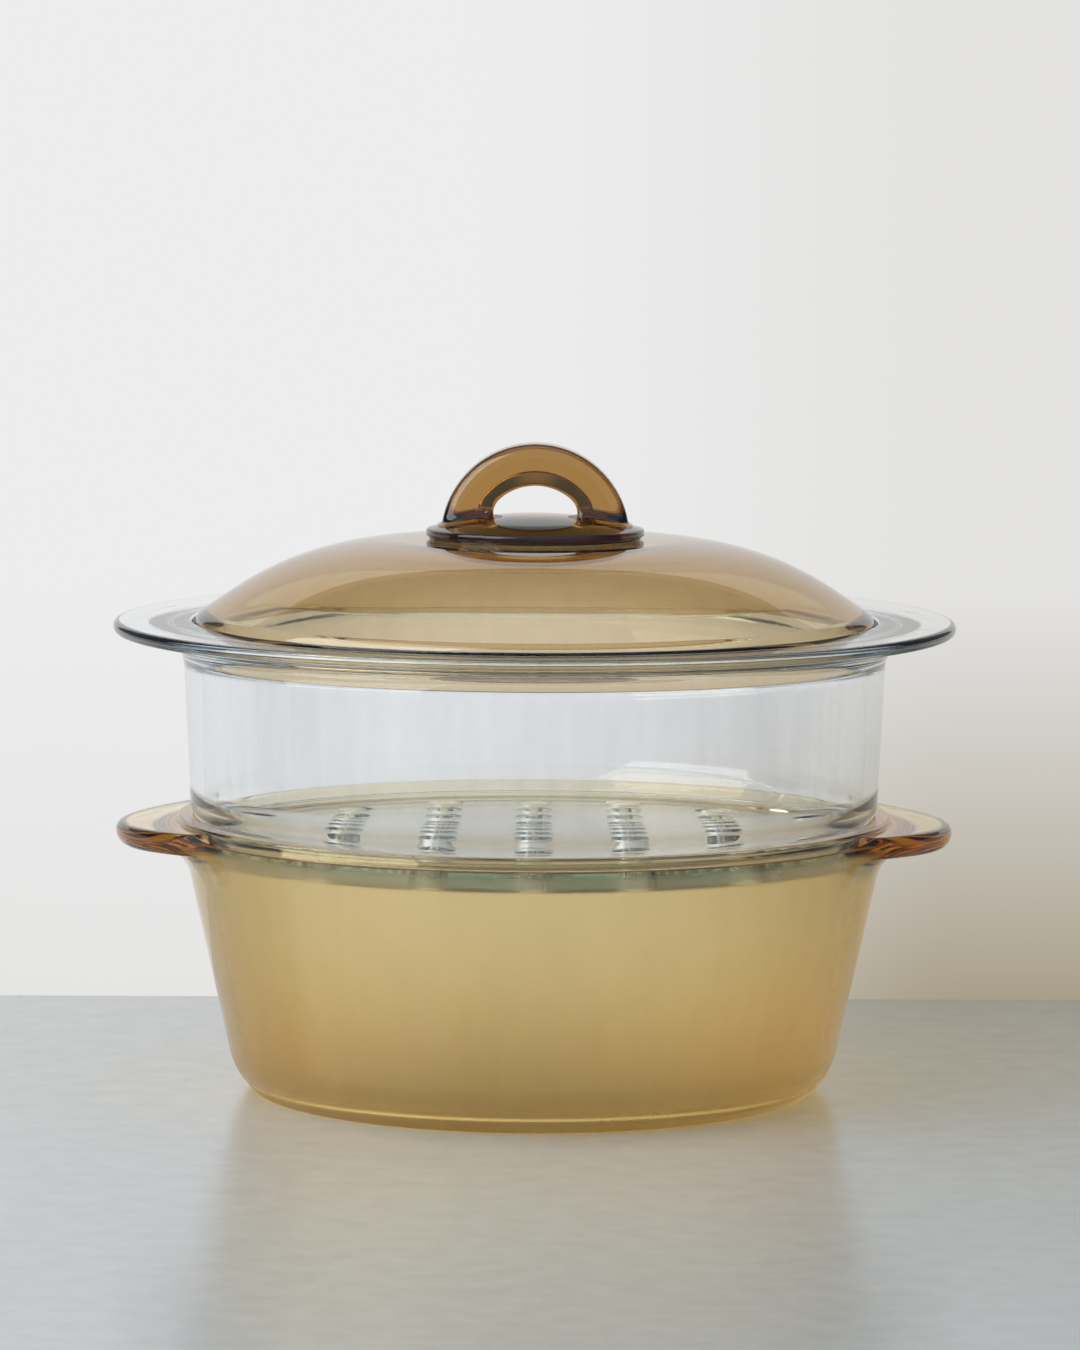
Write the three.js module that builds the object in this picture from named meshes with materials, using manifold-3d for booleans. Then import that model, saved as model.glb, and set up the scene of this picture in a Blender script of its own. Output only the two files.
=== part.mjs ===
// Steam cooker: a glass-ceramic pot with two lug handles, a perforated glass steamer that
// stands in the pot's rim, and a domed glass lid with a loop handle bonded on top.
// Millimetres, +Z up, origin at the centre of the pot's base, lugs along X.
import * as THREE from 'three';
import { mergeVertices } from 'three/addons/utils/BufferGeometryUtils.js';
import Module from 'manifold-3d';

const wasm = await Module();
wasm.setup();

// Facets round every turned piece, how far a facet of a rounded corner may cut its arc,
// facets across a plate's rounded edge, and how close points are one
const TURN_STEPS = 48;
const ARC_TOLERANCE = 0.12;
const BEVEL_STEPS = 3;
const WELD_DISTANCE = 1e-4;

// Free play between pieces that seat in each other, and the rounding of their seats' edges
const GAP = 0.3;
const SEAT_EDGE_ROUND = 0.5;

// Pot
const POT_HEIGHT = 86.5;
const POT_RIM_RADIUS = 111.2;
const POT_FOOT_RADIUS = 92;
const POT_WALL = 5;
const POT_BASE = 4;
const POT_BASE_RADIUS = 86.5;
const POT_BASE_EDGE_ROUND = 2.5;
const POT_FOOT_HEIGHT = 5.5;
const POT_FOOT_ROUND = 22;
const POT_INNER_BASE_RADIUS = 83.2;
const POT_INNER_BASE_ROUND = 6;
const POT_INNER_FOOT_HEIGHT = 8.5;
const POT_INNER_FOOT_ROUND = 14;
const POT_RIM_ROUND = 1.3;
const SEAT_RADIUS = 105.9;
const SEAT_DEPTH = 4.5;
const SEAT_INNER_RADIUS = 102.9;

// Lug handles of the pot
const LUG_PLAN_CENTRE = 75.5;
const LUG_PLAN_RADIUS = 55.5;
const LUG_PLAN_SPAN = THREE.MathUtils.degToRad(144);
const LUG_PLAN_STEPS = 24;
const LUG_ROOT_X = 105;
const LUG_TOP = 85;
const LUG_THICKNESS = 7;
const LUG_EDGE_ROUND = 2.6;
const LUG_DROOP = THREE.MathUtils.degToRad(3);
const LUG_EMBED = 2;
const GUSSET_DROP = 9.5;
const GUSSET_REACH = 119;
const GUSSET_ROUND = 10;
const GUSSET_PLAN = [[84, 60], [98, 49], [110, 40], [121, 28]];

// Steamer, heights from the neck's foot that rests in the pot's seat
const STEAMER_WALL_FOOT = new THREE.Vector2(106.85, 5.75);
const STEAMER_WALL_TOP = 109.4;
const STEAMER_INNER_TOP = 103.3;
const STEAMER_INNER_BEND = new THREE.Vector2(102.2, 9.3);
const STEAMER_INNER_BEND_ROUND = 20;
const NECK_RADIUS = 105.2;
const NECK_HEIGHT = 3.2;
const WALL_FOOT_ROUND = 8;
const PLUG_RADIUS = 101.8;
const PLUG_TAPER = 0.8;
const PLUG_DEPTH = 6.9;
const PLUG_FOOT_ROUND = 3;
const FLOOR_THICKNESS = 6.9;
const FLOOR_RADIUS = 98.2;
const FLOOR_ROUND = 5;
const FLANGE_RADIUS = 130.8;
const FLANGE_TOP = 64.9;
const FLANGE_THICKNESS = 3.9;
const FLANGE_ROOT_ROUND = 11;
const FLANGE_EDGE_ROUND = 1.85;
const RECESS_RADIUS = 106.4;
const RECESS_DEPTH = 4.4;
const RECESS_ROUND = 1;
const HOLE_RADIUS = 5.5;
const HOLE_STEPS = 12;
const DRILL_LENGTH = 20;
const HOLE_PITCH_X = 29;
const HOLE_PITCH_Y = 20;
const HOLE_FIELD_RADIUS = 88;

// Lid, heights from the seat under its rim
const LID_RADIUS = 105.6;
const LID_TOP = 29.8;
const LID_THICKNESS = 4;
const LID_CAP_CORNER = new THREE.Vector2(70.7, 28.2);
const LID_CONE_END = 5.1;
const LID_SHOULDER_ROUND = 93;
const LID_EDGE_ROUND = 4.6;
const LID_INNER_CORNER = new THREE.Vector2(69.46, 24.23);
const LID_INNER_FOOT = new THREE.Vector2(100.5, 3.7);
const LID_INNER_FOOT_ROUND = 2;
const LID_SEAT_INNER_RADIUS = 101.3;

// Loop handle, heights from the crown of the dome
const BOND_THICKNESS = 0.5;
const BOND_RADIUS = 33.4;
const DISC_RADIUS = 33.9;
const DISC_EDGE_TOP = 2.4;
const DISC_EDGE_ROUND = 0.9;
const DISC_FOOT_ROUND = 0.3;
const DISC_CROWN = 7;
const DISC_CROWN_CORNER = 16.4;
const DISC_CROWN_ROUND = 120;
const LOOP_CENTRE = -0.4;
const LOOP_OUTER_RADIUS = 29.3;
const FINGER_RADIUS_FRONT = 16.2;
const FINGER_RADIUS_BACK = 20.4;
const LOOP_DEPTH = 15;
const LOOP_EDGE_ROUND = 3.6;
const FINGER_EDGE_ROUND = 1;
const LOOP_FOOT = 2;

// Finishes
const AMBER_CERAMIC = { color: 0xc79a4c, roughness: 0.25, metalness: 0 };
const CLEAR_GLASS = { color: 0xdbe8ee, roughness: 0.05, metalness: 0 };
const BROWN_GLASS = { color: 0x7a5326, roughness: 0.05, metalness: 0 };
const CLEAR_BOND = { color: 0xb9a88c, roughness: 0.3, metalness: 0 };

// A corner of an outline, with the radius that rounds it off
function corner(x, y, round = 0) {
  return { point: new THREE.Vector2(x, y), round };
}

// The points of one rounded corner: an arc that touches the lines to both neighbours
function roundedCorner(before, here, after) {
  if (here.round === 0) {
    return [here.point.clone()];
  }
  const toBefore = before.point.clone().sub(here.point).normalize();
  const toAfter = after.point.clone().sub(here.point).normalize();
  const half = Math.acos(THREE.MathUtils.clamp(toBefore.dot(toAfter), -1, 1)) / 2;
  const bisector = toBefore.clone().add(toAfter).normalize();
  const centre = here.point.clone().addScaledVector(bisector, here.round / Math.sin(half));
  const start = here.point.clone().addScaledVector(toBefore, here.round / Math.tan(half)).sub(centre);
  const turn = Math.PI - 2 * half;
  const sign = Math.sign(toAfter.cross(toBefore));
  const step = 2 * Math.acos(1 - Math.min(1, ARC_TOLERANCE / here.round));
  const steps = Math.max(2, Math.ceil(turn / step));
  const points = [];
  for (let i = 0; i <= steps; i += 1) {
    const spoke = start.clone().rotateAround(new THREE.Vector2(), (sign * turn * i) / steps);
    points.push(centre.clone().add(spoke));
  }
  return points;
}

// An outline with the corners between its two ends rounded
function outline(corners) {
  const points = [];
  corners.forEach((here, i) => {
    const isEnd = i === 0 || i === corners.length - 1;
    points.push(...(isEnd ? [here.point.clone()] : roundedCorner(corners[i - 1], here, corners[i + 1])));
  });
  return points;
}

// A solid of revolution about Z from a profile of radius and height that runs up the outside
function turned(profile) {
  const geometry = new THREE.LatheGeometry(profile, TURN_STEPS);
  geometry.rotateX(Math.PI / 2);
  return geometry;
}

// A plate lying in XY with rounded edges, from its mid-height outline and its two heights
function plate(points, edgeRound, bottom, top) {
  const shape = new THREE.Shape(points);
  const geometry = new THREE.ExtrudeGeometry(shape, {
    depth: top - bottom - 2 * edgeRound,
    bevelEnabled: edgeRound > 0,
    bevelThickness: edgeRound,
    bevelSize: edgeRound,
    bevelOffset: -edgeRound,
    bevelSegments: BEVEL_STEPS,
  });
  geometry.translate(0, 0, bottom + edgeRound);
  return geometry;
}

// A solid for joining and cutting, from a closed geometry
function solid(geometry) {
  const bare = geometry.index ? geometry.toNonIndexed() : geometry.clone();
  bare.deleteAttribute('normal');
  bare.deleteAttribute('uv');
  const welded = mergeVertices(bare, WELD_DISTANCE);
  const corners = welded.index.array;
  const triangles = [];
  for (let i = 0; i < corners.length; i += 3) {
    const [a, b, c] = [corners[i], corners[i + 1], corners[i + 2]];
    if (a !== b && b !== c && c !== a) {
      triangles.push(a, b, c);
    }
  }
  const mesh = new wasm.Mesh({
    numProp: 3,
    vertProperties: new Float32Array(welded.attributes.position.array),
    triVerts: new Uint32Array(triangles),
  });
  mesh.merge();
  return new wasm.Manifold(mesh);
}

// The geometry of a joined or cut solid
function surface(body) {
  const mesh = body.getMesh();
  const geometry = new THREE.BufferGeometry();
  geometry.setAttribute('position', new THREE.BufferAttribute(mesh.vertProperties, 3));
  geometry.setIndex(new THREE.BufferAttribute(mesh.triVerts, 1));
  geometry.computeVertexNormals();
  return geometry;
}

// A named piece with its own finish
function piece(name, geometry, finish) {
  const mesh = new THREE.Mesh(geometry, new THREE.MeshStandardMaterial(finish));
  mesh.name = name;
  return mesh;
}

// Outer radius of the pot's wall at a height
function potRadius(height) {
  return POT_FOOT_RADIUS + ((POT_RIM_RADIUS - POT_FOOT_RADIUS) * height) / POT_HEIGHT;
}

// Pot bowl: flat base, rounded foot, tapered wall, rim with a stepped seat inside
function potBowl() {
  const seat = POT_HEIGHT - SEAT_DEPTH;
  return turned(outline([
    corner(0, 0),
    corner(POT_BASE_RADIUS, 0, POT_BASE_EDGE_ROUND),
    corner(potRadius(POT_FOOT_HEIGHT), POT_FOOT_HEIGHT, POT_FOOT_ROUND),
    corner(POT_RIM_RADIUS, POT_HEIGHT, POT_RIM_ROUND),
    corner(SEAT_RADIUS, POT_HEIGHT, POT_RIM_ROUND),
    corner(SEAT_RADIUS, seat),
    corner(SEAT_INNER_RADIUS, seat, SEAT_EDGE_ROUND),
    corner(potRadius(POT_INNER_FOOT_HEIGHT) - POT_WALL, POT_INNER_FOOT_HEIGHT, POT_INNER_FOOT_ROUND),
    corner(POT_INNER_BASE_RADIUS, POT_BASE, POT_INNER_BASE_ROUND),
    corner(0, POT_BASE),
  ]));
}

// Plan of a lug: an arc that swings out of the pot's wall and back
function lugPlan() {
  const arc = new THREE.ArcCurve(
    LUG_PLAN_CENTRE, 0, LUG_PLAN_RADIUS, -LUG_PLAN_SPAN / 2, LUG_PLAN_SPAN / 2,
  );
  return arc.getPoints(LUG_PLAN_STEPS);
}

// Plan of the fillet below a lug, from its half on the +Y side
function gussetPlan() {
  const half = GUSSET_PLAN.map(([x, y]) => new THREE.Vector2(x, y));
  const other = half.map((point) => new THREE.Vector2(point.x, -point.y));
  return [...other, ...half.toReversed()];
}

// Blade of a lug: a plate with rounded edges that droops a little towards its tip
function lugBlade() {
  const plan = lugPlan();
  const blade = plate(plan, LUG_EDGE_ROUND, -LUG_THICKNESS, 0);
  blade.translate(-LUG_ROOT_X, 0, 0);
  blade.rotateY(LUG_DROOP);
  blade.translate(LUG_ROOT_X, 0, LUG_TOP);
  return solid(blade);
}

// Fillet below a lug, from the pot's wall out to the blade's underside
function lugGusset() {
  const underside = LUG_TOP - LUG_THICKNESS;
  const middle = LUG_TOP - LUG_THICKNESS / 2;
  const foot = underside - GUSSET_DROP;
  const wall = potRadius(foot);
  const fillet = turned(outline([
    corner(wall - LUG_EMBED, foot),
    corner(wall, foot),
    corner(potRadius(underside), underside, GUSSET_ROUND),
    corner(GUSSET_REACH, underside),
    corner(GUSSET_REACH, middle),
    corner(wall - LUG_EMBED, middle),
    corner(wall - LUG_EMBED, foot),
  ]));
  return solid(fillet).intersect(solid(plate(gussetPlan(), 0, foot - GAP, LUG_TOP)));
}

function lug() {
  return lugBlade().add(lugGusset()).subtract(solid(wallCore()));
}

// The inside of the pot's wall at lug height, so that a lug ends within the wall
function wallCore() {
  const bottom = LUG_TOP - LUG_THICKNESS - GUSSET_DROP - LUG_EMBED;
  const top = POT_HEIGHT + LUG_EMBED;
  return turned([
    new THREE.Vector2(0, bottom),
    new THREE.Vector2(potRadius(bottom) - LUG_EMBED, bottom),
    new THREE.Vector2(potRadius(top) - LUG_EMBED, top),
    new THREE.Vector2(0, top),
  ]);
}

function potBody() {
  const right = lug();
  const left = right.rotate([0, 0, 180]);
  return surface(solid(potBowl()).add(right).add(left));
}

// Centres of the steam holes: a rectangular grid inside a round field
function holeCentres() {
  const centres = [];
  const columns = Math.floor(HOLE_FIELD_RADIUS / HOLE_PITCH_X);
  const rows = Math.floor(HOLE_FIELD_RADIUS / HOLE_PITCH_Y);
  for (let i = -columns; i <= columns; i += 1) {
    for (let j = -rows; j <= rows; j += 1) {
      const centre = new THREE.Vector2(i * HOLE_PITCH_X, j * HOLE_PITCH_Y);
      if (centre.length() <= HOLE_FIELD_RADIUS) {
        centres.push(centre);
      }
    }
  }
  return centres;
}

// Steamer bowl: plug, neck, rounded foot, near-upright wall, broad flange with a recess for the lid
function steamerBowl() {
  const underFlange = FLANGE_TOP - FLANGE_THICKNESS;
  const ledge = FLANGE_TOP - RECESS_DEPTH;
  const floor = FLOOR_THICKNESS - PLUG_DEPTH;
  return turned(outline([
    corner(0, -PLUG_DEPTH),
    corner(PLUG_RADIUS - PLUG_TAPER, -PLUG_DEPTH, PLUG_FOOT_ROUND),
    corner(PLUG_RADIUS, 0),
    corner(NECK_RADIUS, 0, SEAT_EDGE_ROUND),
    corner(NECK_RADIUS, NECK_HEIGHT),
    corner(STEAMER_WALL_FOOT.x, STEAMER_WALL_FOOT.y, WALL_FOOT_ROUND),
    corner(STEAMER_WALL_TOP, underFlange, FLANGE_ROOT_ROUND),
    corner(FLANGE_RADIUS, underFlange, FLANGE_EDGE_ROUND),
    corner(FLANGE_RADIUS, FLANGE_TOP, FLANGE_EDGE_ROUND),
    corner(RECESS_RADIUS, FLANGE_TOP, RECESS_ROUND),
    corner(RECESS_RADIUS, ledge),
    corner(STEAMER_INNER_TOP, ledge, SEAT_EDGE_ROUND),
    corner(STEAMER_INNER_BEND.x, STEAMER_INNER_BEND.y, STEAMER_INNER_BEND_ROUND),
    corner(FLOOR_RADIUS, floor, FLOOR_ROUND),
    corner(0, floor),
  ]));
}

function steamerBasket() {
  const drill = new THREE.CylinderGeometry(HOLE_RADIUS, HOLE_RADIUS, DRILL_LENGTH, HOLE_STEPS);
  drill.rotateX(Math.PI / 2);
  drill.translate(0, 0, -PLUG_DEPTH + FLOOR_THICKNESS / 2);
  let body = solid(steamerBowl());
  for (const centre of holeCentres()) {
    body = body.subtract(solid(drill.clone().translate(centre.x, centre.y, 0)));
  }
  return surface(body);
}

// Lid: flat crown, rounded shoulder, cone and rounded edge, standing on a flat rim
function lidDome() {
  return turned(outline([
    corner(0, LID_TOP - LID_THICKNESS),
    corner(LID_INNER_CORNER.x, LID_INNER_CORNER.y, LID_SHOULDER_ROUND - LID_THICKNESS),
    corner(LID_INNER_FOOT.x, LID_INNER_FOOT.y, LID_INNER_FOOT_ROUND),
    corner(LID_SEAT_INNER_RADIUS, 0, SEAT_EDGE_ROUND),
    corner(LID_RADIUS, 0, SEAT_EDGE_ROUND),
    corner(LID_RADIUS, LID_CONE_END, LID_EDGE_ROUND),
    corner(LID_CAP_CORNER.x, LID_CAP_CORNER.y, LID_SHOULDER_ROUND),
    corner(0, LID_TOP),
  ]));
}

// Height of the dome's crown below its top at a radius
function crownDrop(radius) {
  return ((LID_TOP - LID_CAP_CORNER.y) * radius) / LID_CAP_CORNER.x;
}

// Thin layer that bonds the loop handle to the crown
function handleBond() {
  return turned([
    new THREE.Vector2(0, GAP),
    new THREE.Vector2(BOND_RADIUS, GAP - crownDrop(BOND_RADIUS)),
    new THREE.Vector2(BOND_RADIUS, GAP + BOND_THICKNESS - crownDrop(BOND_RADIUS)),
    new THREE.Vector2(0, GAP + BOND_THICKNESS),
  ]);
}

// Round foot disc of the loop handle, hollowed to follow the crown
function handleDisc() {
  const underside = 2 * GAP + BOND_THICKNESS;
  return turned(outline([
    corner(0, underside),
    corner(DISC_RADIUS, underside - crownDrop(DISC_RADIUS), DISC_FOOT_ROUND),
    corner(DISC_RADIUS, DISC_EDGE_TOP, DISC_EDGE_ROUND),
    corner(DISC_CROWN_CORNER, DISC_CROWN, DISC_CROWN_ROUND),
    corner(0, DISC_CROWN),
  ]));
}

// Half ring standing on the disc, its finger hole along Y, wider at the back than at the front
function handleLoop() {
  const half = LOOP_DEPTH / 2;
  const middle = (FINGER_RADIUS_BACK + LOOP_OUTER_RADIUS) / 2;
  const ring = turned(outline([
    corner(middle, -half),
    corner(LOOP_OUTER_RADIUS, -half, LOOP_EDGE_ROUND),
    corner(LOOP_OUTER_RADIUS, half, LOOP_EDGE_ROUND),
    corner(FINGER_RADIUS_FRONT, half, FINGER_EDGE_ROUND),
    corner(FINGER_RADIUS_BACK, -half, FINGER_EDGE_ROUND),
    corner(middle, -half),
  ]));
  ring.rotateX(Math.PI / 2);
  ring.translate(0, 0, LOOP_CENTRE);
  const above = new THREE.BoxGeometry(3 * LOOP_OUTER_RADIUS, 2 * LOOP_DEPTH, 2 * LOOP_OUTER_RADIUS);
  above.translate(0, 0, LOOP_FOOT + LOOP_OUTER_RADIUS);
  return solid(ring).intersect(solid(above));
}

function lidHandle() {
  return surface(solid(handleDisc()).add(handleLoop()));
}

// Assembly: the steamer stands in the pot's seat, the lid in the steamer's recess
const handle = new THREE.Group();
handle.position.z = LID_TOP;
handle.add(piece('handle_bond', handleBond(), CLEAR_BOND));
handle.add(piece('lid_handle', lidHandle(), BROWN_GLASS));

const lid = new THREE.Group();
lid.position.z = FLANGE_TOP - RECESS_DEPTH + GAP;
lid.add(piece('lid_dome', lidDome(), BROWN_GLASS));
lid.add(handle);

const steamer = new THREE.Group();
steamer.position.z = POT_HEIGHT - SEAT_DEPTH + GAP;
steamer.add(piece('steamer_basket', steamerBasket(), CLEAR_GLASS));
steamer.add(lid);

const cooker = new THREE.Group();
cooker.add(piece('pot_body', potBody(), AMBER_CERAMIC));
cooker.add(steamer);

export default cooker;
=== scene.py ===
"""Looks for a steam cooker: amber pot, clear flanged steamer, brown domed lid with a loop handle."""

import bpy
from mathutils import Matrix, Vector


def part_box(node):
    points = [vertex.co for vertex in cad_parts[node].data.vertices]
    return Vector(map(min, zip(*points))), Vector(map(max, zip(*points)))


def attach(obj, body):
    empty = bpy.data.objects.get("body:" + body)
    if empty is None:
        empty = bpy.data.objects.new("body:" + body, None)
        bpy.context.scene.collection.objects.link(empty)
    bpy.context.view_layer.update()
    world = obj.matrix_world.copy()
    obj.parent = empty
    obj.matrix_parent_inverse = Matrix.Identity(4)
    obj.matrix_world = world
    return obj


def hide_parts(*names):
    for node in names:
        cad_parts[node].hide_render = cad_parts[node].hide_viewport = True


bl_info = {
    "name": "Steam Cooker",
    "version": (1, 0, 0),
    "blender": (4, 5, 0),
    "location": "3D View > Sidebar > Cooker",
    "description": "Dresses the packed steam cooker in pressed glass",
    "category": "Object",
}

import math

import bmesh
import bpy
import numpy as np
from bpy.props import FloatProperty, FloatVectorProperty, PointerProperty
from bpy.types import Operator, Panel, PropertyGroup
from mathutils import Matrix, Vector
from mathutils.geometry import delaunay_2d_cdt

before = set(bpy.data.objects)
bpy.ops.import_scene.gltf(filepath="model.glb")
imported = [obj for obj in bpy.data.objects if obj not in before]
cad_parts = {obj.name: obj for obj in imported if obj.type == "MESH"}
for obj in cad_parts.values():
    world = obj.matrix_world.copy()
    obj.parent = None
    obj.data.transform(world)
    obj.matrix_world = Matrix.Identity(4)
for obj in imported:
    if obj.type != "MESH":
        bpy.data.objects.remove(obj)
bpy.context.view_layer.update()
MM = 0.001

# Meshing: step along a profile, largest turn per step, guard beside an arc, weld and merge distances, columns
PROFILE_STEP = 2.5 * MM
TURN_STEP = math.radians(8)
GUARD = 0.35 * MM
WELD = 0.001 * MM
MERGE = 1e-6 * MM
TURN_COLUMNS = 256
HOLE_COLUMNS = 24


def length(name, description, default):
    """A length in metres for a property group."""
    return FloatProperty(
        name=name, description=description, default=default, min=0.0, precision=4,
        subtype="DISTANCE", unit="LENGTH",
    )


def colour(name, description, default):
    """A colour for a property group."""
    return FloatVectorProperty(
        name=name, description=description, default=default, size=3, min=0.0, max=1.0, subtype="COLOR",
    )


class PotSizes(PropertyGroup):
    """Sizes of the pot and its lugs."""

    height: length("Height", "Height of the rim above the base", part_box("pot_body")[1].z)
    rim: length("Rim radius", "Outer radius at the rim", 111.2 * MM)
    foot: length("Foot radius", "Outer radius at the base, before its rounding", 92 * MM)
    wall: length("Wall", "Thickness of the wall", 5 * MM)
    base: length("Base", "Thickness of the base", 4 * MM)
    flat: length("Flat base", "Radius of the flat base", 86.5 * MM)
    flat_inside: length("Flat inside", "Radius of the flat base inside", 83.2 * MM)
    foot_round: length("Foot rounding", "Rounding between base and wall", 22 * MM)
    seat: length("Seat radius", "Radius of the step that holds the steamer", 105.9 * MM)
    seat_depth: length("Seat depth", "Depth of that step below the rim", 4.5 * MM)
    mouth: length("Mouth radius", "Inner radius just below that step", 102.9 * MM)
    lug_tip: length("Lug tip", "Distance of a lug's tip from the axis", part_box("pot_body")[1].x)
    lug_round: length("Lug plan radius", "Radius of a lug's outline seen from above", 55.5 * MM)
    lug_thickness: length("Lug thickness", "Thickness of a lug's blade", 7 * MM)


class SteamerSizes(PropertyGroup):
    """Sizes of the steamer."""

    shoulder: length("Neck foot", "Height of the neck's foot above the pot's base", 82.3 * MM)
    neck: length("Neck radius", "Outer radius of the neck that stands in the pot's seat", 105.2 * MM)
    neck_height: length("Neck height", "Height of the neck", 3.2 * MM)
    wall_foot: length("Wall foot radius", "Outer radius at the wall's rounded foot", 106.85 * MM)
    foot_height: length("Wall foot height", "Height of that foot above the neck's foot", 5.75 * MM)
    wall_top: length("Wall top radius", "Outer radius under the flange", 109.4 * MM)
    flange: length("Flange radius", "Outer radius of the flange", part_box("steamer_basket")[1].x)
    flange_top: length("Flange top", "Height of the flange's top above the shoulder", 64.9 * MM)
    flange_thickness: length("Flange thickness", "Thickness of the flange", 3.9 * MM)
    recess: length("Recess radius", "Radius of the recess that holds the lid", 106.4 * MM)
    recess_depth: length("Recess depth", "Depth of that recess", 4.4 * MM)
    mouth: length("Mouth radius", "Inner radius just below that recess", 103.3 * MM)
    plug: length("Plug radius", "Radius of the part that sits in the pot", 101.8 * MM)
    plug_depth: length("Plug depth", "Depth of that part below the shoulder", 6.9 * MM)
    floor: length("Floor", "Thickness of the perforated floor", 6.9 * MM)
    hole: length("Hole radius", "Radius of a steam hole", 5.5 * MM)
    pitch_x: length("Hole pitch across", "Distance between columns of holes", 29 * MM)
    pitch_y: length("Hole pitch along", "Distance between holes of a column", 20 * MM)
    field: length("Hole field radius", "Holes lie within this distance of the axis", 88 * MM)


class LidSizes(PropertyGroup):
    """Sizes of the lid's dome."""

    seat: length("Seat", "Height of the lid's seat above the pot's base", 143.1 * MM)
    rim: length("Rim radius", "Outer radius of the lid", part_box("lid_dome")[1].x)
    top: length("Top", "Height of the crown above the seat", 29.8 * MM)
    thickness: length("Thickness", "Thickness of the dome", 4 * MM)
    seat_inner: length("Seat inner radius", "Inner radius of the flat rim that the lid stands on", 101.3 * MM)


class HandleSizes(PropertyGroup):
    """Sizes of the loop handle and of the layer that bonds it."""

    crown: length("Crown", "Height of the dome's crown above the pot's base", 172.9 * MM)
    disc: length("Disc radius", "Radius of the foot disc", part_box("lid_handle")[1].x)
    disc_edge: length("Disc edge", "Height of the disc's edge above the crown", 2.4 * MM)
    disc_top: length("Disc top", "Height of the disc's middle above the crown", 7 * MM)
    loop: length("Loop radius", "Outer radius of the loop", 29.3 * MM)
    finger: length("Finger hole radius", "Inner radius of the loop at the front", 16.2 * MM)
    finger_back: length("Finger hole back radius", "Inner radius of the loop at the back", 20.4 * MM)
    depth: length("Loop depth", "Size of the loop along the finger hole", 15 * MM)
    edge: length("Edge rounding", "Rounding of the loop's outer edges", 3.6 * MM)
    finger_edge: length("Finger edge rounding", "Rounding of the finger hole's edges", 1 * MM)
    bond: length("Bond radius", "Radius of the bonding layer", 33.4 * MM)


class GlassColours(PropertyGroup):
    """What is left of white light after ten millimetres of each glass."""

    amber: colour("Amber glass", "White light after 10 mm of the pot's glass", (0.955, 0.83, 0.5))
    clear: colour("Clear glass", "White light after 10 mm of the steamer's glass", (0.945, 0.968, 0.98))
    brown: colour("Brown glass", "White light after 10 mm of the lid's glass", (0.58, 0.38, 0.14))
    # The bond's near-black tint is painted shade: it darkens the seam between the disc and the dome
    bond: colour("Bond", "White light after 10 mm of the bonding layer", (0.02, 0.012, 0.006))


class StageColours(PropertyGroup):
    """Colours of the floor, the wall and the room."""

    floor: colour("Floor", "Colour of the floor", (0.365, 0.38, 0.37))
    wall: colour("Wall", "Colour of the wall behind the cooker", (0.845, 0.845, 0.85))
    # painted_shadow is painted shade on the wall: the cooker's shadow, darker and warmer towards the foot of
    # the right side
    painted_shadow: colour("Shade", "Colour of the wall at the foot of its right side", (0.38, 0.33, 0.23))
    room: colour("Room", "Colour of the room beside the cooker", (0.14, 0.17, 0.21))
    front: colour("Front", "Colour of the room in front of the cooker", (0.6, 0.7, 0.86))
    above: colour("Above", "Colour of the soft light above the cooker", (0.92, 0.95, 1.0))


# Profiles and grids


def straight(start, end):
    """Points inside a straight run: a guard close to each end, and even steps between the guards."""
    gap = np.linalg.norm(end - start)
    if gap < 4 * WELD:
        return np.empty((0, 2))
    guard = min(GUARD, gap / 4)
    count = max(1, math.ceil((gap - 2 * guard) / PROFILE_STEP))
    share = np.linspace(guard, gap - guard, count + 1) / gap
    return start + share[:, None] * (end - start)


def rounded(corners):
    """Outline through corners of (radius, height, rounding).

    Each corner but the first and last becomes an arc that touches the lines to both neighbours:
    its centre lies on the bisector, and its points are centre + rounding * (cos t * spoke + sin t * ahead).
    """
    points = [np.array(corner[:2], float) for corner in corners]
    parts = [points[0][None]]
    for before, here, after, corner in zip(points, points[1:], points[2:], corners[1:]):
        back = (before - here) / np.linalg.norm(before - here)
        onward = (after - here) / np.linalg.norm(after - here)
        half = math.acos(np.clip(back @ onward, -1, 1)) / 2
        middle = (back + onward) / np.linalg.norm(back + onward)
        centre = here + middle * corner[2] / math.sin(half)
        first = here + back * corner[2] / math.tan(half)
        turn = math.pi - 2 * half
        count = max(2, math.ceil(turn / TURN_STEP), math.ceil(turn * corner[2] / PROFILE_STEP))
        t = np.linspace(0, turn, count + 1)[:, None]
        arc = centre + np.cos(t) * (first - centre) - np.sin(t) * corner[2] * back
        parts += [straight(parts[-1][-1], arc[0]), arc]
    parts += [straight(parts[-1][-1], points[-1]), points[-1][None]]
    return np.vstack(parts)


def full_turn(columns):
    """Even angles round the axis."""
    return np.arange(columns) * 2 * math.pi / columns


def turned(profile, angles):
    """Grid of a profile turned about the axis: (r cos a, r sin a, z)."""
    r, z = profile[:, :1], profile[:, 1:]
    return np.stack([r * np.cos(angles), r * np.sin(angles), z + 0 * angles], axis=-1)


def grid_faces(rows, columns):
    """Four-sided faces of a grid that closes round its columns, outside to the right of the rows."""
    row, column = np.meshgrid(np.arange(rows - 1), np.arange(columns), indexing="ij")
    beside = (column + 1) % columns
    here, above = row * columns, (row + 1) * columns
    faces = np.stack([here + column, here + beside, above + beside, above + column], axis=-1)
    return faces.reshape(-1, 4)


def grid_part(points):
    """Points and faces of one closed-round grid."""
    return points.reshape(-1, 3), grid_faces(*points.shape[:2])


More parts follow.
